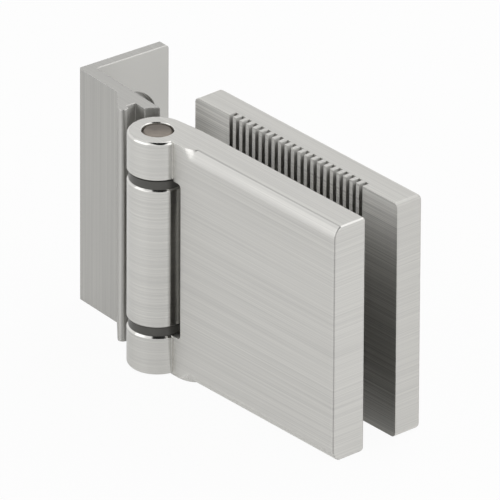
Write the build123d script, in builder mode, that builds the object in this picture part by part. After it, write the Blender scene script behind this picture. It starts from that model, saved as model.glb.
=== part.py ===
from build123d import *
from math import acos, atan2, cos, hypot, radians, sin
import os

# L-plate hinge that carries a glass door on a wall.
# An angled wall leaf with a barrel in its middle, a door leaf with an ear above and below
# the barrel, and a grooved back plate that clamps the glass against the door leaf.
# X runs away from the wall, Y towards the room behind the glass, Z up. The origin is the
# centre of the face that lies on the wall.

# Overall height, shared by the wall leaf, the door leaf and the back plate
height = 65.0

# Angle by which the door side stands past parallel with the wall leaf's arm
door_angle = 4.0

# Pin, bushes and knuckle
pin_radius = 4.0
pin_clearance = 0.05
pin_recess = 0.3
pin_chamfer = 0.6
bush_wall = 1.45
bush_clearance = 0.05
bush_depth = 10.0
bush_flange_thickness = 2.2
bush_flange_inset = 0.4
barrel_wall = 2.15
knuckle_chamfer = 0.5
ear_height = 10.8
ear_play = 0.1
ear_hole_chamfer = 0.2

# Wall leaf
wall_flange_width = 25.7
wall_flange_thickness = 2.8
wall_flange_corner = 1.0
pin_reach = 39.0
arm_thickness = 3.3
arm_setback = 4.2
arm_outer_corner = 0.6
arm_inner_corner = 1.0
ear_relief = 4.2

# Screw slots in the wall leaf, each in a round counterbore
wall_slot_spacing = 28.0
wall_slot_width = 6.4
wall_slot_length = 12.4
wall_slot_edge_distance = 12.3
counterbore_radius = 8.5
counterbore_depth = 1.6

# Stop rib on the arm: a ramp that ends in a rounded bead
bead_radius = 1.3
bead_setback = 0.05
bead_clearance = 1.5
rib_ramp_length = 8.2
rib_undercut = 0.35

# Door leaf. Its long front edges are rounded by a cutter that leaves them near the ears.
leaf_reach = 69.0
leaf_thickness = 10.1
leaf_forward = 1.6
leaf_edge = 0.9
leaf_end_edge = 0.5
crown_width = 3.1
crown_depth = 2.2
crown_flatness = 1.05
crown_start = 15.0
crown_exit_angle = 40.0
cutout_clearance = 3.0
cutout_corner = 1.2

# Glass and back plate
glass_thickness = 8.0
gasket_allowance = 1.15
back_thickness = 8.3
back_edge = 1.0
back_corner = 1.4

# Grip grooves in the back plate's inner face
groove_pitch = 2.46
groove_width = 1.3
groove_depth = 2.2
groove_margin = 13.1

# Clamp screws, M6 with countersunk heads, and the sleeves on them
clamp_screw_reach = 31.0
clamp_screw_spacing = 32.0
clamp_screw_radius = 3.0
clamp_screw_length = 25.0
clamp_head_radius = 6.0
clamp_socket_size = 4.0
clamp_socket_depth = 2.6
clamp_clearance = 0.2
thread_clearance = 0.05
thread_runout = 0.5
front_wall = 1.3
sleeve_wall = 1.8
sleeve_seat_depth = 1.0
sleeve_seat_clearance = 0.1
sleeve_end_play = 0.3

# Grub screws, M4, that lock the pin in the ears
grub_radius = 2.0
grub_clearance = 0.03
grub_recess = 0.3
grub_socket_size = 2.0
grub_socket_depth = 1.5

# Places worked out from the sizes above
pin_hole_radius = pin_radius + pin_clearance
bush_radius = pin_hole_radius + bush_wall
barrel_bore_radius = bush_radius + bush_clearance
knuckle_radius = barrel_bore_radius + barrel_wall
barrel_length = height - 2 * (ear_height + bush_flange_thickness + ear_play)
ear_inner_z = height / 2 - ear_height
ear_middle_z = height / 2 - ear_height / 2
relief_radius = knuckle_radius + ear_relief
leaf_front = -leaf_forward
leaf_back = leaf_thickness - leaf_forward
glass_gap = glass_thickness + 2 * gasket_allowance
back_inner = leaf_back + glass_gap
back_outer = back_inner + back_thickness
back_start = -knuckle_radius
back_length = leaf_reach - back_start
tapped_depth = leaf_thickness - front_wall
sleeve_bore_radius = clamp_screw_radius + clamp_clearance
sleeve_radius = sleeve_bore_radius + sleeve_wall
sleeve_length = glass_gap + sleeve_seat_depth - sleeve_end_play
cutout_reach = knuckle_radius + cutout_clearance
crease_reach = (knuckle_radius**2 - leaf_forward**2) ** 0.5
cut_margin = 1.0
pin_y = -wall_flange_width / 2 - arm_setback

# The pin's own frame, and the door's frame, which is turned about the pin
at_pin = Plane(origin=(pin_reach, pin_y, 0))
door = at_pin.rotated((0, 0, door_angle))


def tangent_point(start, centre, radius):
    """Where a line from start touches the circle, on the circle's counter-clockwise side."""
    across = centre[0] - start[0]
    along = centre[1] - start[1]
    turn = atan2(-along, -across) + acos(radius / hypot(across, along))
    return (centre[0] + radius * cos(turn), centre[1] + radius * sin(turn))


def across_door(reach):
    """A plane square to the door leaf, at a distance from the pin: its x is the door's y."""
    return Plane(door.origin + door.x_dir * reach, x_dir=door.y_dir, z_dir=door.x_dir)


def facing_back(setback):
    """A plane parallel to the glass that faces the back: its x is the door's x."""
    return Plane(door.origin + door.y_dir * setback, x_dir=door.x_dir, z_dir=door.y_dir)


# Barrel of the wall leaf, with chamfered rims
with BuildPart() as barrel:
    with BuildSketch(at_pin.offset(-barrel_length / 2)):
        Circle(knuckle_radius)
    extrude(amount=barrel_length)
    chamfer(barrel.edges().filter_by(GeomType.CIRCLE), knuckle_chamfer)

# Wall leaf: flange, arm, stop rib and barrel in one piece
wall_slot_y = wall_flange_width / 2 - wall_slot_edge_distance
bead_x = -(relief_radius + bead_clearance + bead_radius)
bead = (bead_x, bead_setback)
rib_root = (bead_x - rib_ramp_length, arm_setback)
rib_back_x = bead_x - rib_undercut

with BuildPart() as wall_leaf:
    with BuildSketch(Plane.XY.offset(-height / 2)):
        with Locations((0, 0)):
            Rectangle(wall_flange_thickness, wall_flange_width, align=(Align.MIN, Align.CENTER))
        with Locations((0, -wall_flange_width / 2)):
            Rectangle(pin_reach, arm_thickness, align=(Align.MIN, Align.MIN))
    extrude(amount=height)
    corners = wall_leaf.edges().filter_by(Axis.Z)
    fillet(corners.sort_by_distance((0, -wall_flange_width / 2, 0))[0], arm_outer_corner)
    inner = (wall_flange_thickness, arm_thickness - wall_flange_width / 2, 0)
    fillet(wall_leaf.edges().filter_by(Axis.Z).sort_by_distance(inner)[0], arm_inner_corner)
    fillet(wall_leaf.edges().filter_by(Axis.X).group_by(Axis.Y)[-1], wall_flange_corner)
    # The rib's ramp touches the bead, and its back is cut straight behind the bead
    with BuildSketch(at_pin.offset(-height / 2)):
        with BuildLine():
            Polyline(
                rib_root,
                tangent_point(rib_root, bead, bead_radius),
                bead,
                (rib_back_x, bead_setback),
                (rib_back_x, arm_setback),
                close=True,
            )
        make_face()
        with Locations(bead):
            Circle(bead_radius)
    extrude(amount=height)
    with BuildSketch(at_pin.offset(barrel_length / 2), at_pin.offset(-height / 2)):
        Circle(relief_radius)
    extrude(amount=height / 2 - barrel_length / 2, mode=Mode.SUBTRACT)
    add(barrel.part)
    with BuildSketch(at_pin.offset(-barrel_length / 2)):
        Circle(barrel_bore_radius)
    extrude(amount=barrel_length, mode=Mode.SUBTRACT)
    with BuildSketch(Plane.YZ):
        with Locations((wall_slot_y, wall_slot_spacing / 2), (wall_slot_y, -wall_slot_spacing / 2)):
            SlotOverall(wall_slot_length, wall_slot_width, rotation=90)
    extrude(amount=wall_flange_thickness, mode=Mode.SUBTRACT)
    with BuildSketch(Plane.YZ.offset(wall_flange_thickness)):
        with Locations((wall_slot_y, wall_slot_spacing / 2), (wall_slot_y, -wall_slot_spacing / 2)):
            Circle(counterbore_radius)
    extrude(amount=-counterbore_depth, mode=Mode.SUBTRACT)
wall_leaf.part.label = "wall_leaf"

# Bushes: one flanged plastic bush in each end of the barrel
with BuildPart() as upper_bush:
    with BuildSketch(at_pin.offset(barrel_length / 2 - bush_depth)):
        Circle(bush_radius)
    extrude(amount=bush_depth)
    with BuildSketch(at_pin.offset(barrel_length / 2)):
        Circle(knuckle_radius - bush_flange_inset)
    extrude(amount=bush_flange_thickness)
    with BuildSketch(at_pin.offset(barrel_length / 2 - bush_depth)):
        Circle(pin_hole_radius)
    extrude(amount=bush_depth + bush_flange_thickness, mode=Mode.SUBTRACT)
upper_bush.part.label = "upper_bush"

with BuildPart() as lower_bush:
    mirror(upper_bush.part, about=Plane.XY)
lower_bush.part.label = "lower_bush"

# Pin
with BuildPart() as hinge_pin:
    with BuildSketch(at_pin.offset(pin_recess - height / 2)):
        Circle(pin_radius)
    extrude(amount=height - 2 * pin_recess)
    chamfer(hinge_pin.edges().filter_by(GeomType.CIRCLE), pin_chamfer)
hinge_pin.part.label = "hinge_pin"

# What the cutter takes off the long front edges of the door leaf. It runs in from the free
# end and lifts off at an angle near the ears.
crown_radius = crown_flatness * (crown_width**2 + crown_depth**2) / (2 * crown_depth)
exit_angle = radians(crown_exit_angle)
exit_length = (crown_width + cut_margin) / sin(exit_angle)
crown_foot = height / 2 - crown_width

with BuildPart() as crown_cut:
    with BuildLine(facing_back(leaf_front)) as cutter_path:
        Polyline(
            (leaf_reach + cut_margin, -height / 2),
            (crown_start, -height / 2),
            (
                crown_start - exit_length * cos(exit_angle),
                -height / 2 - exit_length * sin(exit_angle),
            ),
        )
    with BuildSketch(across_door(leaf_reach + cut_margin)):
        with BuildLine():
            RadiusArc(
                (leaf_front + crown_depth, height / 2),
                (leaf_front, crown_foot),
                -crown_radius,
            )
            Polyline(
                (leaf_front, crown_foot),
                (leaf_front - cut_margin, crown_foot),
                (leaf_front - cut_margin, height / 2 + cut_margin),
                (leaf_front + crown_depth, height / 2 + cut_margin),
                (leaf_front + crown_depth, height / 2),
            )
        make_face()
    sweep(path=cutter_path.wire(), transition=Transition.RIGHT)
    mirror(about=Plane.XY)

# Plate of the door leaf, with a web behind each ear that touches the ear's round back
web_bend = (crease_reach, leaf_back)
web_start = tangent_point(web_bend, (0, 0), knuckle_radius)

with BuildPart() as leaf_plate:
    with BuildSketch(door.offset(-height / 2)):
        with BuildLine():
            Polyline(
                (0, 0),
                web_start,
                web_bend,
                (leaf_reach, leaf_back),
                (leaf_reach, leaf_front),
                (crease_reach, leaf_front),
                close=True,
            )
        make_face()
    extrude(amount=height)
    back_rims = leaf_plate.faces().filter_by(Axis.Z).edges().sort_by(Axis(door.origin, door.y_dir))
    fillet(back_rims[-4:], leaf_edge)
    add(crown_cut.part, mode=Mode.SUBTRACT)
    plate_end = leaf_plate.faces().sort_by(Axis(door.origin, door.x_dir))[-1]
    fillet(plate_end.edges(), leaf_end_edge)
    with BuildSketch(facing_back(leaf_front)):
        RectangleRounded(2 * cutout_reach, 2 * ear_inner_z, cutout_corner)
    extrude(amount=leaf_thickness, mode=Mode.SUBTRACT)

# Door leaf: an ear round the pin above and below the barrel, and the plate
with BuildPart() as door_leaf:
    with BuildSketch(door.offset(ear_inner_z)):
        Circle(knuckle_radius)
    extrude(amount=ear_height)
    rims = door_leaf.edges().filter_by(GeomType.CIRCLE).sort_by(Axis.Z)
    chamfer(rims[0], knuckle_chamfer)
    fillet(rims[-1], leaf_edge)
    mirror(about=Plane.XY)
    add(leaf_plate.part)
    with BuildSketch(door.offset(-height / 2)):
        Circle(pin_hole_radius)
    extrude(amount=height, mode=Mode.SUBTRACT)
    mouths = door_leaf.edges().filter_by(GeomType.CIRCLE).filter_by(
        lambda edge: abs(edge.radius - pin_hole_radius) < 0.001
    )
    chamfer([mouths.sort_by(Axis.Z)[0], mouths.sort_by(Axis.Z)[-1]], ear_hole_chamfer)
    with Locations(facing_back(leaf_back)):
        with Locations((clamp_screw_reach, 0)):
            with GridLocations(0, clamp_screw_spacing, 1, 2):
                CounterBoreHole(
                    clamp_screw_radius + thread_clearance,
                    sleeve_radius + sleeve_seat_clearance,
                    sleeve_seat_depth,
                    tapped_depth,
                )
    with Locations(facing_back(knuckle_radius)):
        with GridLocations(0, 2 * ear_middle_z, 1, 2):
            Hole(grub_radius + grub_clearance, knuckle_radius)
door_leaf.part.label = "door_leaf"

# Back plate with vertical grip grooves in its inner face and countersunk screw holes
groove_field = back_length - 2 * groove_margin
groove_count = int((groove_field - groove_width) / groove_pitch + 0.01) + 1
groove_middle = back_start + back_length / 2

with BuildPart() as back_plate:
    with BuildSketch(facing_back(back_inner)):
        with Locations((back_start, 0)):
            RectangleRounded(
                back_length, height, back_corner, align=(Align.MIN, Align.CENTER)
            )
    extrude(amount=back_thickness)
    outer_face = back_plate.faces().sort_by(Axis(door.origin, door.y_dir))[-1]
    fillet(outer_face.edges(), back_edge)
    with BuildSketch(door.offset(-height / 2)):
        with Locations((groove_middle, back_inner)):
            with GridLocations(groove_pitch, 0, groove_count, 1):
                Rectangle(groove_width, 2 * groove_depth)
    extrude(amount=height, mode=Mode.SUBTRACT)
    with Locations(facing_back(back_outer)):
        with Locations((clamp_screw_reach, 0)):
            with GridLocations(0, clamp_screw_spacing, 1, 2):
                CounterSinkHole(
                    clamp_screw_radius + clamp_clearance,
                    clamp_head_radius + thread_clearance,
                    counter_sink_angle=90,
                )
back_plate.part.label = "back_plate"

# Clamp screws, turned about their own axis: depth runs from the head into the door leaf
head_centre = door.origin + door.x_dir * clamp_screw_reach + door.y_dir * back_outer
upper_head = head_centre + Vector(0, 0, clamp_screw_spacing / 2)

with BuildPart() as upper_clamp_screw:
    with BuildSketch(Plane(upper_head, x_dir=door.x_dir, z_dir=(0, 0, -1))):
        with BuildLine():
            Polyline(
                (0, 0),
                (clamp_head_radius, 0),
                (clamp_screw_radius, clamp_head_radius - clamp_screw_radius),
                (clamp_screw_radius, clamp_screw_length - thread_runout),
                (clamp_screw_radius - thread_runout, clamp_screw_length),
                (0, clamp_screw_length),
                close=True,
            )
        make_face()
    revolve(axis=Axis(upper_head, door.y_dir))
    with BuildSketch(Plane(upper_head, x_dir=door.x_dir, z_dir=door.y_dir)):
        RegularPolygon(clamp_socket_size / 2, 6, major_radius=False)
    extrude(amount=-clamp_socket_depth, mode=Mode.SUBTRACT)
upper_clamp_screw.part.label = "upper_clamp_screw"

with BuildPart() as lower_clamp_screw:
    mirror(upper_clamp_screw.part, about=Plane.XY)
lower_clamp_screw.part.label = "lower_clamp_screw"

# Sleeves that keep the clamp screws off the glass, seated in the door leaf's back
with BuildPart() as upper_screw_sleeve:
    with BuildSketch(facing_back(leaf_back - sleeve_seat_depth)):
        with Locations((clamp_screw_reach, -clamp_screw_spacing / 2)):
            Circle(sleeve_radius)
            Circle(sleeve_bore_radius, mode=Mode.SUBTRACT)
    extrude(amount=sleeve_length)
upper_screw_sleeve.part.label = "upper_screw_sleeve"

with BuildPart() as lower_screw_sleeve:
    mirror(upper_screw_sleeve.part, about=Plane.XY)
lower_screw_sleeve.part.label = "lower_screw_sleeve"

# Grub screws that lock the pin in the ears from behind
grub_length = knuckle_radius - grub_recess - pin_hole_radius

with BuildPart() as upper_grub_screw:
    with BuildSketch(facing_back(knuckle_radius - grub_recess)):
        with Locations((0, -ear_middle_z)):
            Circle(grub_radius)
    extrude(amount=-grub_length)
    with BuildSketch(facing_back(knuckle_radius - grub_recess)):
        with Locations((0, -ear_middle_z)):
            RegularPolygon(grub_socket_size / 2, 6, major_radius=False)
    extrude(amount=-grub_socket_depth, mode=Mode.SUBTRACT)
upper_grub_screw.part.label = "upper_grub_screw"

with BuildPart() as lower_grub_screw:
    mirror(upper_grub_screw.part, about=Plane.XY)
lower_grub_screw.part.label = "lower_grub_screw"

os.makedirs("parts", exist_ok=True)
pieces = (
    wall_leaf,
    upper_bush,
    lower_bush,
    hinge_pin,
    door_leaf,
    back_plate,
    upper_clamp_screw,
    lower_clamp_screw,
    upper_screw_sleeve,
    lower_screw_sleeve,
    upper_grub_screw,
    lower_grub_screw,
)
for piece in pieces:
    export_step(piece.part, f"parts/{piece.part.label}.step")
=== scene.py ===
# %% [markdown]
# # A wall hinge for a glass door
# The hinge has an angled wall leaf with a barrel, a door leaf with two ears round the same
# pin, and a grooved back plate that clamps the glass. The solids come ready from the frame,
# and this lesson leaves their shapes alone. It gives every piece the finish of the real one
# and sets up a bright studio round the hinge, because brushed metal is only as good as what
# it reflects.

# %% The frame
from math import cos, pi, radians, sin

import bpy
from mathutils import Matrix, Vector


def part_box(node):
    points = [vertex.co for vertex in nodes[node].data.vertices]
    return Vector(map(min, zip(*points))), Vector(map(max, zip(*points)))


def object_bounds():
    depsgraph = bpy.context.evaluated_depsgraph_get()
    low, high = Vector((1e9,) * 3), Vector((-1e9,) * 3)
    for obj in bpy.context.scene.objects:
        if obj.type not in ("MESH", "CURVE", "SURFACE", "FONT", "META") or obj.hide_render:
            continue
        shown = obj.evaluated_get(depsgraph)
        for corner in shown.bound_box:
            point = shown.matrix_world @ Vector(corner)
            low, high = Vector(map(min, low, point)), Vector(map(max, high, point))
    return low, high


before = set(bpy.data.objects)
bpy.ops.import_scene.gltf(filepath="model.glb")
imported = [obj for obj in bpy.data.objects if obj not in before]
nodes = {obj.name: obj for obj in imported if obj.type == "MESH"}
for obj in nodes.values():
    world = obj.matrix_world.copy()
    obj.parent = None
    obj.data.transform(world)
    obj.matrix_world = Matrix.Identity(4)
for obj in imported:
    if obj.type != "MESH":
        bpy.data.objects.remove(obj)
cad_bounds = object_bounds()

bpy.ops.object.select_all(action="DESELECT")
MM = 0.001
pin_low, pin_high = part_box("hinge_pin")
pin_axis = (pin_low + pin_high) / 2
print("pin axis at", [round(v / MM, 2) for v in pin_axis], "mm; nodes:", len(nodes))

# %% [markdown]
# ## Camera
# The photograph was taken with a long lens from the front right and above, so upright edges
# stay nearly parallel. The camera could be aimed by eye. Here its direction is given as two
# angles and the point in the middle of the frame as steps from the pin, because then each
# number can be corrected on its own.

# %% Camera
def view_axes(azimuth, elevation):
    """The directions to the right, to the top and to the viewer, of a view from there."""
    to_right = Vector((cos(azimuth), sin(azimuth), 0))
    to_viewer = Vector((
        sin(azimuth) * cos(elevation),
        -cos(azimuth) * cos(elevation),
        sin(elevation),
    ))
    return to_right, to_viewer.cross(to_right), to_viewer


camera_azimuth = radians(53.36)
camera_elevation = radians(27.41)
camera_roll = radians(0.286)
camera_distance = 4.0
camera_lens = 1157.0
aim_right = 23.04 * MM
aim_down = 0.906 * MM

to_right, to_top, to_camera = view_axes(camera_azimuth, camera_elevation)
aim = pin_axis + to_right * aim_right - to_top * aim_down
camera_axes = Matrix((to_right, to_top, to_camera)).transposed().to_4x4()

bpy.ops.object.camera_add()
camera = bpy.context.object
camera.name = "camera"
camera.matrix_world = (
    Matrix.Translation(aim + to_camera * camera_distance)
    @ camera_axes
    @ Matrix.Rotation(camera_roll, 4, "Z")
)
camera.data.lens = camera_lens
camera.data.clip_start = 0.1
camera.data.clip_end = 50
bpy.context.scene.camera = camera
print("camera", camera_distance, "m away with a", camera_lens, "mm lens")

# %% [markdown]
# ## Helpers for materials
# Colours are chosen as sRGB hex values, as a colour picker shows them, while the shader
# expects linear ones. Nodes could be added and linked one line at a time. One function for
# colours and one for nodes with their settings and links let a material read like a recipe.

# %% Helpers
def colour(hex_value):
    """A linear colour from an sRGB hex value such as c8c7c4."""
    channels = [int(hex_value[i:i + 2], 16) / 255 for i in (0, 2, 4)]
    linear = [c / 12.92 if c <= 0.04045 else ((c + 0.055) / 1.055) ** 2.4 for c in channels]
    return (*linear, 1)


def add_node(tree, kind, inputs=None, **settings):
    """Adds a node with its settings. Inputs are values, or outputs of other nodes to link."""
    node = tree.nodes.new(kind)
    for key, value in settings.items():
        setattr(node, key, value)
    for key, value in (inputs or {}).items():
        if isinstance(value, bpy.types.NodeSocket):
            tree.links.new(value, node.inputs[key])
        else:
            node.inputs[key].default_value = value
    return node


def new_material(name):
    """A new material with its node tree and its shader."""
    material = bpy.data.materials.new(name)
    material.use_nodes = True
    tree = material.node_tree
    return material, tree, tree.nodes["Principled BSDF"]


white = colour("ffffff")
print("white is", white)

# %% [markdown]
# ## Strokes of a brushing belt
# The wall leaf, the door leaf and the back plate are brass, brushed on a belt and then nickel
# plated. The belt leaves fine parallel strokes. A picture of strokes could be laid on the
# faces. Noise that is stretched into strokes needs no picture, follows real millimetres and
# never repeats. Each stroke of the grit is far finer than a pixel, so the strokes are drawn
# as broad as the bundles that the eye picks out: many narrow ones, and fewer broad ones.

# %% Strokes of the belt
fine_strokes = {"length": 60, "width": 0.2, "detail": 3}
broad_strokes = {"length": 120, "width": 0.55, "detail": 2}


def brush_strokes(tree, place, on_top, length, width, detail):
    """Noise in strokes of a length and a width in millimetres. They run round the upright
    sides, and along the piece where its surface is level."""
    per_metre_along, per_metre_across = 1000 / length, 1000 / width
    side = add_node(tree, "ShaderNodeMapping",
                    {"Vector": place,
                     "Scale": (per_metre_along, per_metre_along, per_metre_across)})
    top = add_node(tree, "ShaderNodeMapping",
                   {"Vector": place,
                    "Scale": (per_metre_along, per_metre_across, per_metre_along)})
    laid = add_node(tree, "ShaderNodeMix",
                    {0: on_top, 4: side.outputs[0], 5: top.outputs[0]}, data_type="VECTOR")
    noise = add_node(tree, "ShaderNodeTexNoise",
                     {"Vector": laid.outputs[1], "Scale": 1, "Detail": detail})
    return noise.outputs["Fac"]


print("strokes in mm: fine", fine_strokes, "broad", broad_strokes)

# %% [markdown]
# ## Knuckle and plate
# The knuckle is the round part that holds the pin: the ears and the barrel. It is brushed
# round, while the flat plates are brushed along or upright, and it is smoother than they are.
# Each could have a material of its own, on faces picked by hand. Here one material measures
# how far a point lies from the pin's axis and changes over within a millimetre, because then
# the solids need no picked faces.

# %% Knuckle and plate
knuckle_end = 8 * MM
plate_start = 9 * MM


def distance_from_pin(tree, place):
    """The distance of a point of the surface from the pin's axis, in metres."""
    centred = add_node(tree, "ShaderNodeVectorMath",
                       {0: place, 1: (-pin_axis.x, -pin_axis.y, 0)}, operation="ADD")
    flat = add_node(tree, "ShaderNodeVectorMath", {0: centred.outputs[0], 1: (1, 1, 0)},
                    operation="MULTIPLY")
    distance = add_node(tree, "ShaderNodeVectorMath", {0: flat.outputs[0]}, operation="LENGTH")
    return distance.outputs["Value"]


def place_along_piece(tree, place, on_knuckle, turn, plate_rise):
    """Coordinates turned along the piece. On its plate they are turned up by an angle too,
    and the strokes go with them."""
    turned = add_node(tree, "ShaderNodeMapping", {"Vector": place, "Rotation": (0, 0, -turn)})
    plate_turned = add_node(tree, "ShaderNodeMapping",
                            {"Vector": turned.outputs[0], "Rotation": (0, plate_rise, 0)})
    laid = add_node(tree, "ShaderNodeMix",
                    {0: on_knuckle, 4: plate_turned.outputs[0], 5: turned.outputs[0]},
                    data_type="VECTOR")
    return laid.outputs[1]


print("the knuckle ends", knuckle_end / MM, "mm from the axis of the pin")

# %% [markdown]
# ## Which way a face looks
# The strokes on a top run another way than those on a side, and an edge cut after brushing
# has hardly any. The faces could be sorted by hand. The height of the surface's normal sorts
# them too: it is near 1 on a level face and 0 on an upright one. The normal is turned into
# the object's own axes first, so that the answer is the same when the door leaf has swung.

# %% Faces by slope
top_from = 0.96
side_up_to = 0.15
edge_slope, edge_spread = 0.55, 0.4


def faces_by_slope(tree, normal):
    """The normal in the object's own axes, how level the face is, and masks for the tops, the
    upright sides and the sloping edges."""
    facing = add_node(tree, "ShaderNodeVectorTransform", {0: normal},
                      vector_type="NORMAL", convert_from="WORLD", convert_to="OBJECT")
    axes = add_node(tree, "ShaderNodeSeparateXYZ", {"Vector": facing.outputs[0]})
    level = add_node(tree, "ShaderNodeMath", {0: axes.outputs["Z"]}, operation="ABSOLUTE")
    top = add_node(tree, "ShaderNodeMath", {0: level.outputs[0], 1: top_from},
                   operation="GREATER_THAN")
    side = add_node(tree, "ShaderNodeMath", {0: level.outputs[0], 1: side_up_to},
                    operation="LESS_THAN")
    edge = add_node(tree, "ShaderNodeMath",
                    {0: level.outputs[0], 1: edge_slope, 2: edge_spread}, operation="COMPARE")
    return {"facing": facing.outputs[0], "level": level.outputs[0], "top": top.outputs[0],
            "side": side.outputs[0], "edge": edge.outputs[0]}


print("edges slope from", round(edge_slope - edge_spread, 2), "to",
      round(edge_slope + edge_spread, 2))

# %% [markdown]
# ## Traces of the tools and a painted step shade
# The cutter that rounds the long front edge of the door leaf starts with a fine step, and the
# faces towards the glass keep the marks of a coarser belt. The step is too low to be worth a
# cut in the solid, so the dark line that its shade makes above the crown is painted into the
# tone, as painted shade. The marks are a pattern in the tone. Both are found by the way a face
# looks: just tilted to the front, or straight towards the glass.

# %% Painted step shade and traces of the tools
step_tilt, step_spread = 0.27, 0.19
step_level = 0.6
step_start = 15 * MM
mark_noise_low, mark_noise_high = 0.36, 0.64
mark_tone_low, mark_tone_high = 0.92, 1.12
straight_to_glass = 0.9


# painted shade: a dark line in the tone where the step above the crown would lie in shade
def painted_step_shade_mask(tree, faces, pin_distance, front):
    """Mask of the painted shade line at the step where the front edge rounds, clear of the
    knuckle.
    """
    tilt = add_node(tree, "ShaderNodeVectorMath", {0: faces["facing"], 1: front},
                    operation="DOT_PRODUCT")
    tilted = add_node(tree, "ShaderNodeMath",
                      {0: tilt.outputs["Value"], 1: step_tilt, 2: step_spread},
                      operation="COMPARE")
    high = add_node(tree, "ShaderNodeMath", {0: faces["level"], 1: step_level},
                    operation="GREATER_THAN")
    clear = add_node(tree, "ShaderNodeMath", {0: pin_distance, 1: step_start},
                     operation="GREATER_THAN")
    tilted_top = add_node(tree, "ShaderNodeMath", {0: tilted.outputs[0], 1: high.outputs[0]},
                          operation="MULTIPLY")
    line = add_node(tree, "ShaderNodeMath", {0: tilted_top.outputs[0], 1: clear.outputs[0]},
                    operation="MULTIPLY")
    return line.outputs[0]


def coarse_marks(tree, normal, strokes, to_glass):
    """A tone that follows the strokes on the faces that look at the glass, and is 1 on all
    others."""
    marks = add_node(tree, "ShaderNodeMapRange",
                     {"Value": strokes, "From Min": mark_noise_low, "From Max": mark_noise_high,
                      "To Min": mark_tone_low, "To Max": mark_tone_high})
    looking = add_node(tree, "ShaderNodeVectorMath", {0: normal, 1: to_glass},
                       operation="DOT_PRODUCT")
    at_glass = add_node(tree, "ShaderNodeMath",
                        {0: looking.outputs["Value"], 1: straight_to_glass},
                        operation="GREATER_THAN")
    tone = add_node(tree, "ShaderNodeMix", {0: at_glass.outputs[0], 2: 1, 3: marks.outputs[0]},
                    data_type="FLOAT")
    return tone.outputs[0]


print("the step line starts", step_start / MM, "mm from the axis of the pin")

# %% [markdown]
# ## Tone of the nickel
# Nickel is a warm, pale grey metal, so its colour is light and hardly tinted. The strokes
# give it two shades, which could come from bump alone, but bump this fine is lost in the
# soft light. So the strokes also mix the shades, and each piece has a tone of its own on top.

# %% Tone of the nickel
low_stroke, high_stroke = 0.43, 0.93
stroke_shade = colour("cac9c6")
plain_shade = colour("dddcd8")
knuckle_tone = 1


def nickel_tone(tree, height, on_knuckle, plate_tone, on_painted_step_shade, painted_step_shade, marks):
    """Colour of the nickel: shades by stroke, scaled by the part's tone, painted step shade and
    marks.
    """
    stroke = add_node(tree, "ShaderNodeMapRange",
                      {"Value": height, "From Min": low_stroke, "From Max": high_stroke})
    shade = add_node(tree, "ShaderNodeMix",
                     {0: stroke.outputs[0], 6: stroke_shade, 7: plain_shade}, data_type="RGBA")
    part_tone = add_node(tree, "ShaderNodeMix", {0: on_knuckle, 2: plate_tone, 3: knuckle_tone},
                         data_type="FLOAT")
    # painted shade: on its mask the tone drops to that of the step's shade line
    part_tone_with_step_shade = add_node(tree, "ShaderNodeMix",
                            {0: on_painted_step_shade, 2: part_tone.outputs[0], 3: painted_step_shade},
                            data_type="FLOAT")
    tone = add_node(tree, "ShaderNodeMath", {0: part_tone_with_step_shade.outputs[0], 1: marks},
                    operation="MULTIPLY")
    toned = add_node(tree, "ShaderNodeVectorMath",
                     {0: shade.outputs[2], "Scale": tone.outputs[0]}, operation="SCALE")
    return toned.outputs[0]


print("nickel from", [round(c, 2) for c in stroke_shade[:3]], "to",
      [round(c, 2) for c in plain_shade[:3]])

# %% [markdown]
# ## Polish of the nickel
# How sharp a reflection is tells how a part was worked. The plates come straight from the
# belt and are soft. The side of the knuckle is turned first and is smoother, and its rims
# are polished, so they carry small crisp glints of white and black. One roughness for all
# would lose those glints. Away from the knuckle the polish fades out to that of the edges.

# %% Polish of the nickel
knuckle_roughness = 0.22
rim_roughness = 0.1
polish_end, polish_gone = 11 * MM, 16 * MM


def nickel_roughness(tree, faces, on_knuckle, pin_distance, plate_roughness, edge_roughness):
    """The roughness of the plate, of the knuckle's side, and of rims and edges."""
    turned = add_node(tree, "ShaderNodeMath", {0: on_knuckle, 1: faces["side"]},
                      operation="MULTIPLY")
    brushed = add_node(tree, "ShaderNodeMix",
                       {0: turned.outputs[0], 2: plate_roughness, 3: knuckle_roughness},
                       data_type="FLOAT")
    cut = add_node(tree, "ShaderNodeMapRange",
                   {"Value": pin_distance, "From Min": polish_end, "From Max": polish_gone,
                    "To Min": rim_roughness, "To Max": edge_roughness})
    roughness = add_node(tree, "ShaderNodeMix",
                         {0: faces["edge"], 2: brushed.outputs[0], 3: cut.outputs[0]},
                         data_type="FLOAT")
    return roughness.outputs[0]


print("roughness of the knuckle", knuckle_roughness, "and of its rims", rim_roughness)

# %% [markdown]
# ## Brushed nickel
# Seen in brushed metal, a reflection is smeared across the strokes and stays sharp along
# them, which is why the inside of the clamp is bright near its top and dark further down.
# Bump alone would need strokes finer than a pixel. The shader's anisotropy makes the smear,
# with its tangent across the strokes, and a faint bump adds the strokes that are seen. The
# belt also takes the sharpness off every edge. Bevelling the solids would change them, so the
# Bevel node rounds only the shading, by a few tenths of a millimetre at most.

# %% Brushed nickel
broad_share = 0.35
edge_stroke_share = 0.15
bevel_samples = 6
smear = 0.95


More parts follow.
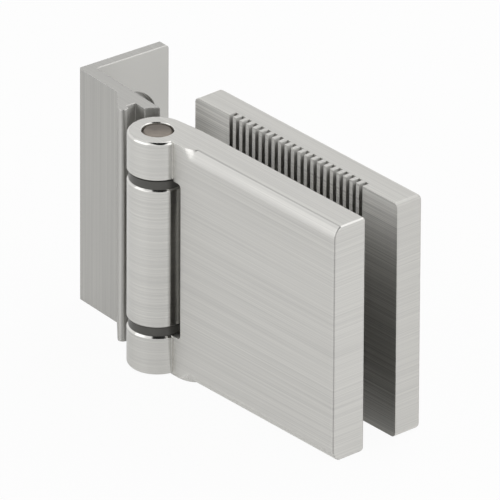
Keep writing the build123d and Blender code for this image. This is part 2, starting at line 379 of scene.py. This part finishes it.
def brushed_nickel(name, turn, to_glass, plate_rise, plate_tone, plate_roughness,
                   edge_radius, edge_roughness, painted_step_shade, stroke_depth):
    """Nickel brushed along a piece that is turned by an angle about the upright. The rise of
    the strokes, the tone and the first roughness are those of the plate. The radius of the
    edges and the depth of the strokes are in millimetres."""
    front = Vector((sin(turn), -cos(turn), 0))
    material, tree, shader = new_material(name)
    place = add_node(tree, "ShaderNodeTexCoord")
    pin_distance = distance_from_pin(tree, place.outputs["Object"])
    on_knuckle = add_node(tree, "ShaderNodeMapRange",
                          {"Value": pin_distance, "From Min": knuckle_end,
                           "From Max": plate_start, "To Min": 1, "To Max": 0})
    rounded = add_node(tree, "ShaderNodeBevel", {"Radius": edge_radius * MM},
                       samples=bevel_samples)
    faces = faces_by_slope(tree, rounded.outputs[0])

    laid = place_along_piece(tree, place.outputs["Object"], on_knuckle.outputs[0], turn,
                             plate_rise)
    fine = brush_strokes(tree, laid, faces["top"], **fine_strokes)
    broad = brush_strokes(tree, laid, faces["top"], **broad_strokes)
    height = add_node(tree, "ShaderNodeMath", {0: broad, 1: broad_share, 2: fine},
                      operation="MULTIPLY_ADD")
    # the mask of the painted shade line at the step above the crown
    on_painted_step_shade = painted_step_shade_mask(tree, faces, pin_distance, front)
    marks = coarse_marks(tree, place.outputs["Normal"], fine, to_glass)
    tone = nickel_tone(tree, height.outputs[0], on_knuckle.outputs[0], plate_tone, on_painted_step_shade,
                       painted_step_shade, marks)
    roughness = nickel_roughness(tree, faces, on_knuckle.outputs[0], pin_distance,
                                 plate_roughness, edge_roughness)

    strength = add_node(tree, "ShaderNodeMix", {0: faces["edge"], 2: 1, 3: edge_stroke_share},
                        data_type="FLOAT")
    bump = add_node(tree, "ShaderNodeBump",
                    {"Strength": strength.outputs[0], "Distance": stroke_depth * MM,
                     "Height": height.outputs[0], "Normal": rounded.outputs[0]})
    across = add_node(tree, "ShaderNodeMix",
                      {0: faces["top"], 4: (0, 0, 1), 5: (-sin(turn), cos(turn), 0)},
                      data_type="VECTOR")
    tangent = add_node(tree, "ShaderNodeVectorTransform", {0: across.outputs[1]},
                       vector_type="VECTOR", convert_from="OBJECT", convert_to="WORLD")
    tree.links.new(tone, shader.inputs["Base Color"])
    tree.links.new(roughness, shader.inputs["Roughness"])
    tree.links.new(bump.outputs[0], shader.inputs["Normal"])
    tree.links.new(tangent.outputs[0], shader.inputs["Tangent"])
    shader.inputs["Metallic"].default_value = 1
    shader.inputs["Anisotropic"].default_value = smear
    return material


print("strokes on edges have", edge_stroke_share, "of their depth")

# %% [markdown]
# ## Three nickel finishes
# The pieces were brushed one by one, and it shows. The door leaf is crisp, with a painted
# shade line above its crown where its fine step is. The back plate is a little lighter and
# softer, on its edges most of all. The wall leaf was brushed upright with a fine belt, so it
# looks satin, and its plate is toned darker than its knuckle. One function makes all three,
# so that they stay the same metal, and the differences are its settings. A tone is a share
# of the knuckle's, and a painted step shade in the tone of its plate doesn't show.

# %% Three nickel finishes
# the door side stands a little past parallel with the arm of the wall leaf
door_turn = radians(4)
door_front = Vector((sin(door_turn), -cos(door_turn), 0))
no_glass = Vector((0, 0, 0))

# the door leaf's painted step shade is 0.72 of the knuckle's tone; on the other pieces it
# equals the plate tone
door_nickel = brushed_nickel(
    "nickel_brushed_door", turn=door_turn, to_glass=-door_front, plate_rise=0,
    plate_tone=0.99, plate_roughness=0.52, edge_radius=0.1, edge_roughness=0.4,
    painted_step_shade=0.72, stroke_depth=0.006)
plate_nickel = brushed_nickel(
    "nickel_brushed_plate", turn=door_turn, to_glass=door_front, plate_rise=0,
    plate_tone=1.04, plate_roughness=0.62, edge_radius=0.12, edge_roughness=0.8,
    painted_step_shade=1.04, stroke_depth=0.006)
wall_nickel = brushed_nickel(
    "nickel_satin_wall", turn=0, to_glass=no_glass, plate_rise=radians(90),
    plate_tone=0.82, plate_roughness=0.5, edge_radius=0.35, edge_roughness=0.2,
    painted_step_shade=0.82, stroke_depth=0.0015)
print("nickel finishes:", door_nickel.name, plate_nickel.name, wall_nickel.name)

# %% [markdown]
# ## Turned pin
# The pin is plain stainless steel, turned on a lathe, so its end carries rings round the
# axis. It looks darker and browner than the nickel. The side of its end towards the camera
# is painted lighter, a painted highlight mixed with a cloud of noise. The rings could be
# modelled, but the Wave node draws them at any size. Those of a real cut are some tenths of
# a millimetre apart and would not show, so they are drawn coarser.

# %% Turned steel
pin_width = 8 * MM
ring_spacing = 1.885 * MM
# the Wave node repeats every 2 pi of 20 times its coordinates
ring_scale = 2 * pi / 20 / ring_spacing
ring_wobble = 0.6
cut_depth = 0.008 * MM
cloud_size = 1.43 * MM
cloud_share = 0.5
# the side of the pin's end that gets the painted highlight, towards the camera
highlight_side = Vector((0.8, -0.6, 0))
highlight_start, highlight_full = 0.05, 0.6

pin_steel, tree, shader = new_material("steel_turned_pin")
place = add_node(tree, "ShaderNodeTexCoord")
centred = add_node(tree, "ShaderNodeMapping",
                   {"Vector": place.outputs["Object"],
                    "Location": (-pin_axis.x, -pin_axis.y, 0)})
rings = add_node(tree, "ShaderNodeTexWave",
                 {"Vector": centred.outputs[0], "Scale": ring_scale,
                  "Distortion": ring_wobble},
                 wave_type="RINGS", rings_direction="Z")
cloud = add_node(tree, "ShaderNodeTexNoise",
                 {"Vector": place.outputs["Object"], "Scale": 1 / cloud_size, "Detail": 3})
height = add_node(tree, "ShaderNodeMath",
                  {0: cloud.outputs["Fac"], 1: cloud_share, 2: rings.outputs["Fac"]},
                  operation="MULTIPLY_ADD")
bump = add_node(tree, "ShaderNodeBump",
                {"Strength": 1, "Distance": cut_depth, "Height": height.outputs[0]})
# painted highlight: lighter towards the camera's side, mixed with the cloud of noise
toward_highlight = add_node(tree, "ShaderNodeVectorMath",
                  {0: centred.outputs[0], 1: highlight_side / pin_width},
                  operation="DOT_PRODUCT")
highlight_and_cloud = add_node(tree, "ShaderNodeMath",
                {0: cloud.outputs["Fac"], 1: cloud_share, 2: toward_highlight.outputs["Value"]},
                operation="MULTIPLY_ADD")
painted_highlight_and_cloud = add_node(tree, "ShaderNodeMapRange",
                {"Value": highlight_and_cloud.outputs[0], "From Min": highlight_start, "From Max": highlight_full})
shade = add_node(tree, "ShaderNodeMix",
                 {0: painted_highlight_and_cloud.outputs[0], 6: colour("635d57"), 7: colour("857d74")},
                 data_type="RGBA")
tree.links.new(shade.outputs[2], shader.inputs["Base Color"])
tree.links.new(bump.outputs[0], shader.inputs["Normal"])
shader.inputs["Metallic"].default_value = 1
shader.inputs["Roughness"].default_value = 0.38
print("pin:", pin_steel.name, "with rings", ring_spacing / MM, "mm apart")

# %% [markdown]
# ## Tumbled screws
# The clamp and grub screws are plain stainless steel, tumbled in a drum, which leaves a soft
# and even sheen without a direction. It could be one flat colour. A cloud of noise of about
# a millimetre keeps it from looking like plastic, as a faint change of shade and of height.

# %% Tumbled steel
dent_size = 1.11 * MM
dent_depth = 0.01 * MM

screw_steel, tree, shader = new_material("steel_stainless_tumbled")
place = add_node(tree, "ShaderNodeTexCoord")
dents = add_node(tree, "ShaderNodeTexNoise",
                 {"Vector": place.outputs["Object"], "Scale": 1 / dent_size, "Detail": 4})
shade = add_node(tree, "ShaderNodeMix",
                 {0: dents.outputs["Fac"], 6: colour("a3a29f"), 7: colour("b9b8b5")},
                 data_type="RGBA")
bump = add_node(tree, "ShaderNodeBump",
                {"Strength": 1, "Distance": dent_depth, "Height": dents.outputs["Fac"]})
tree.links.new(shade.outputs[2], shader.inputs["Base Color"])
tree.links.new(bump.outputs[0], shader.inputs["Normal"])
shader.inputs["Metallic"].default_value = 1
shader.inputs["Roughness"].default_value = 0.36
print("screws:", screw_steel.name, "with dents", round(dent_size / MM, 2), "mm wide")

# %% [markdown]
# ## Moulded bushes and sleeves
# The bushes are dark acetal, seen as dark rings between the ears and the barrel, and the
# sleeves round the clamp screws are pale nylon. Both are moulded and copy the fine grain of
# an eroded mould, which turns a gloss into a sheen. One function makes both, because only
# their colours and roughness differ.

# %% Moulded plastics
grain_size = 0.25 * MM
patch_size = 4 * MM
grain_depth = 0.006 * MM
# that of acetal, and near that of nylon
plastic_ior = 1.48


def moulded_plastic(name, dark, light, roughness):
    """A moulded plastic with the fine grain of its mould and faint patches of colour."""
    material, tree, shader = new_material(name)
    place = add_node(tree, "ShaderNodeTexCoord")
    grain = add_node(tree, "ShaderNodeTexNoise",
                     {"Vector": place.outputs["Object"], "Scale": 1 / grain_size})
    patches = add_node(tree, "ShaderNodeTexNoise",
                       {"Vector": place.outputs["Object"], "Scale": 1 / patch_size})
    shade = add_node(tree, "ShaderNodeMix",
                     {0: patches.outputs["Fac"], 6: colour(dark), 7: colour(light)},
                     data_type="RGBA")
    bump = add_node(tree, "ShaderNodeBump",
                    {"Strength": 1, "Distance": grain_depth, "Height": grain.outputs["Fac"]})
    tree.links.new(shade.outputs[2], shader.inputs["Base Color"])
    tree.links.new(bump.outputs[0], shader.inputs["Normal"])
    shader.inputs["Roughness"].default_value = roughness
    shader.inputs["IOR"].default_value = plastic_ior
    return material


bush_acetal = moulded_plastic("acetal_moulded_dark", "4f4e4b", "5e5d59", 0.34)
sleeve_nylon = moulded_plastic("nylon_moulded_pale", "d6d3c8", "e2dfd5", 0.45)
print("plastics:", bush_acetal.name, sleeve_nylon.name)

# %% [markdown]
# ## Dressing the solids
# Each solid keeps its shape and takes the finish of the real piece. The finishes could be
# given one by one. A table of names and finishes shows at a glance what is made of what, and
# a loop fills in the pieces that come as an upper and a lower one.

# %% Finishes by piece
finish_of = {
    "wall_leaf": wall_nickel,
    "door_leaf": door_nickel,
    "back_plate": plate_nickel,
    "hinge_pin": pin_steel,
}
for end in ("upper", "lower"):
    finish_of[end + "_bush"] = bush_acetal
    finish_of[end + "_screw_sleeve"] = sleeve_nylon
    finish_of[end + "_clamp_screw"] = screw_steel
    finish_of[end + "_grub_screw"] = screw_steel

for node_name, piece in nodes.items():
    piece.data.materials.clear()
    piece.data.materials.append(finish_of[node_name])
    print(node_name, "->", finish_of[node_name].name)

# %% [markdown]
# ## Floor
# A sheet of white paper carries the hinge and fills what the metal reflects from below. With
# more light it would turn white in the picture, but the metal would bleach too. So the camera
# sees mostly the paper's own white and only a faint shadow, a reflection sees less of it, and
# for all other light the paper is plain and matt.

# %% Floor
floor_size = 6000 * MM
white_to_camera = 0.94
white_in_reflections = 0.42
floor_height = cad_bounds[0].z

bpy.ops.mesh.primitive_plane_add(size=floor_size, location=(0, 0, floor_height))
floor = bpy.context.object
floor.name = "floor"
bpy.ops.object.transform_apply(location=True, rotation=True, scale=True)
floor_paper = bpy.data.materials.new("paper_white_matt")
floor_paper.use_nodes = True
tree = floor_paper.node_tree
tree.nodes.clear()
matt = add_node(tree, "ShaderNodeBsdfDiffuse", {"Color": colour("f2f2f1")})
own_white = add_node(tree, "ShaderNodeEmission", {"Color": white, "Strength": 1})
ray = add_node(tree, "ShaderNodeLightPath")
in_metal = add_node(tree, "ShaderNodeMath",
                    {0: ray.outputs["Is Glossy Ray"], 1: white_in_reflections},
                    operation="MULTIPLY")
share = add_node(tree, "ShaderNodeMath",
                 {0: ray.outputs["Is Camera Ray"], 1: white_to_camera, 2: in_metal.outputs[0]},
                 operation="MULTIPLY_ADD")
paper = add_node(tree, "ShaderNodeMixShader",
                 {0: share.outputs[0], 1: matt.outputs[0], 2: own_white.outputs[0]})
add_node(tree, "ShaderNodeOutputMaterial", {"Surface": paper.outputs[0]})
floor.data.materials.append(floor_paper)
print("floor at", round(floor_height / MM, 2), "mm")

# %% [markdown]
# ## A light tent with a gap
# Small metal parts are photographed inside a white tent. The tall dark gap between two of its
# panels, above the camera, shows up as short black glints in the polished rims, and they are
# what makes the rims look like metal. A black card could be hung there, but it would also
# cast a shadow and stand in the way of the lamps. So the gap is an oval in the world's own
# light, seen only in reflections. All other light comes from a plain white room, and the
# camera sees white.

# %% Where the gap is
gap_half_width = radians(20)
gap_half_height = radians(46)
gap_elevation = radians(64)
gap_azimuth = camera_azimuth + radians(15)
gap_right, gap_up, gap_front = view_axes(gap_azimuth, gap_elevation)
# directions on the other side of the sky are pushed far out of the oval
far_side_push = 9
print("the gap looks along", [round(v, 2) for v in gap_front])

# %% [markdown]
# ## The world's light
# A direction of the sky could be compared with a picture of a tent. It is measured instead:
# its steps to the right of the gap's middle and above it, each as a share of the oval's half
# size, give a distance that is 1 on the oval's rim. Around 1 the light fades from nearly
# black to white, because the edge of a real panel is never sharp in a rim.

# %% World
gap_light, panel_light = 0.02, 1
fade_start, fade_end = 0.88, 1.1
room_light = 0.5
backdrop_light = 1

world = bpy.data.worlds.new("studio")
bpy.context.scene.world = world
world.use_nodes = True
tree = world.node_tree
tree.nodes.clear()
sky = add_node(tree, "ShaderNodeTexCoord")
beside = add_node(tree, "ShaderNodeVectorMath",
                  {0: sky.outputs["Generated"], 1: gap_right / sin(gap_half_width)},
                  operation="DOT_PRODUCT")
above = add_node(tree, "ShaderNodeVectorMath",
                 {0: sky.outputs["Generated"], 1: gap_up / sin(gap_half_height)},
                 operation="DOT_PRODUCT")
behind = add_node(tree, "ShaderNodeVectorMath",
                  {0: sky.outputs["Generated"], 1: gap_front * -far_side_push},
                  operation="DOT_PRODUCT")
far_side = add_node(tree, "ShaderNodeMath", {0: behind.outputs["Value"], 1: 0},
                    operation="MAXIMUM")
from_gap = add_node(tree, "ShaderNodeCombineXYZ",
                    {"X": beside.outputs["Value"], "Y": above.outputs["Value"],
                     "Z": far_side.outputs[0]})
reach = add_node(tree, "ShaderNodeVectorMath", {0: from_gap.outputs[0]}, operation="LENGTH")
tent_light = add_node(tree, "ShaderNodeMapRange",
                      {"Value": reach.outputs["Value"], "From Min": fade_start,
                       "From Max": fade_end, "To Min": gap_light, "To Max": panel_light})
room = add_node(tree, "ShaderNodeBackground", {"Color": white, "Strength": room_light})
tent = add_node(tree, "ShaderNodeBackground",
                {"Color": white, "Strength": tent_light.outputs[0]})
backdrop = add_node(tree, "ShaderNodeBackground", {"Color": white, "Strength": backdrop_light})
ray = add_node(tree, "ShaderNodeLightPath")
in_metal = add_node(tree, "ShaderNodeMixShader",
                    {0: ray.outputs["Is Glossy Ray"], 1: room.outputs[0], 2: tent.outputs[0]})
seen = add_node(tree, "ShaderNodeMixShader",
                {0: ray.outputs["Is Camera Ray"], 1: in_metal.outputs[0],
                 2: backdrop.outputs[0]})
add_node(tree, "ShaderNodeOutputWorld", {"Surface": seen.outputs[0]})
print("world:", world.name, "with a room light of", room_light)

# %% [markdown]
# ## Soft lamps
# Three square soft boxes of a metre or more stand round the hinge: the key at the front
# left, the fill on the right and the top lamp behind. Small lamps would draw hard shadows and
# hot lines on the brushed faces. The top lamp isn't above the camera, because there it would
# cover the dark gap in the reflections of the rims.

# %% Lamps
def soft_lamp(name, direction, distance, size, power):
    """A square soft box in the given direction from the hinge, which it looks at."""
    place = aim + direction.normalized() * distance
    bpy.ops.object.light_add(type="AREA", location=place)
    lamp = bpy.context.object
    lamp.name = name
    lamp.data.shape = "SQUARE"
    lamp.data.size = size
    lamp.data.energy = power
    lamp.rotation_euler = direction.to_track_quat("Z", "Y").to_euler()
    print(name, size, "m wide,", distance, "m away,", power, "W")


soft_lamp("lamp_key", Vector((-0.2, -0.9, 0.4)), distance=1.3, size=1.4, power=4.2)
soft_lamp("lamp_fill", Vector((0.83, 0.5, 0.45)), distance=1.3, size=1.5, power=4.5)
soft_lamp("lamp_top", Vector((-0.25, 0.6, 0.75)), distance=1.4, size=1, power=4.2)
bpy.context.scene.view_settings.view_transform = "Standard"
